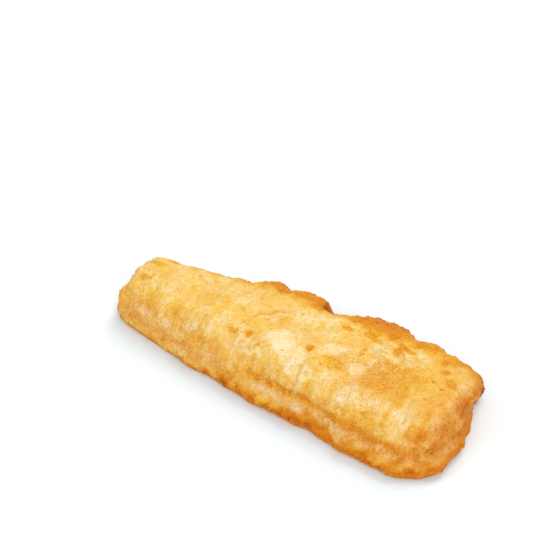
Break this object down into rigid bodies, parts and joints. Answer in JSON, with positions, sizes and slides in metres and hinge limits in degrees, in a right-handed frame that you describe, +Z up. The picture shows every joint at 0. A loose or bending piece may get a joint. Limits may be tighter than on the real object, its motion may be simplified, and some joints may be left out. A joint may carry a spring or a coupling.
{
  "type": "battered fried fish fillet",
  "caption": "Long tapered fish fillet in golden fried batter, with a rounded near shoulder, a furrow over a lumpy lip, and lobes of pooled batter along the far edge.",
  "frame": {"origin": "on the surface that the fillet rests on, under the middle of its box", "axes": "+X along the fillet to its wide end, +Y to the far edge with the lobes, +Z up through the thin way"},
  "size_m": [0.1462, 0.0616, 0.0204],
  "materials": {
    "batter": "fried batter, pale golden on top and browner at the foot, the furrow and the lobes, with a light oily sheen"
  },
  "bodies": {
    "root": {"fillet": "batter"}
  },
  "joints": []
}
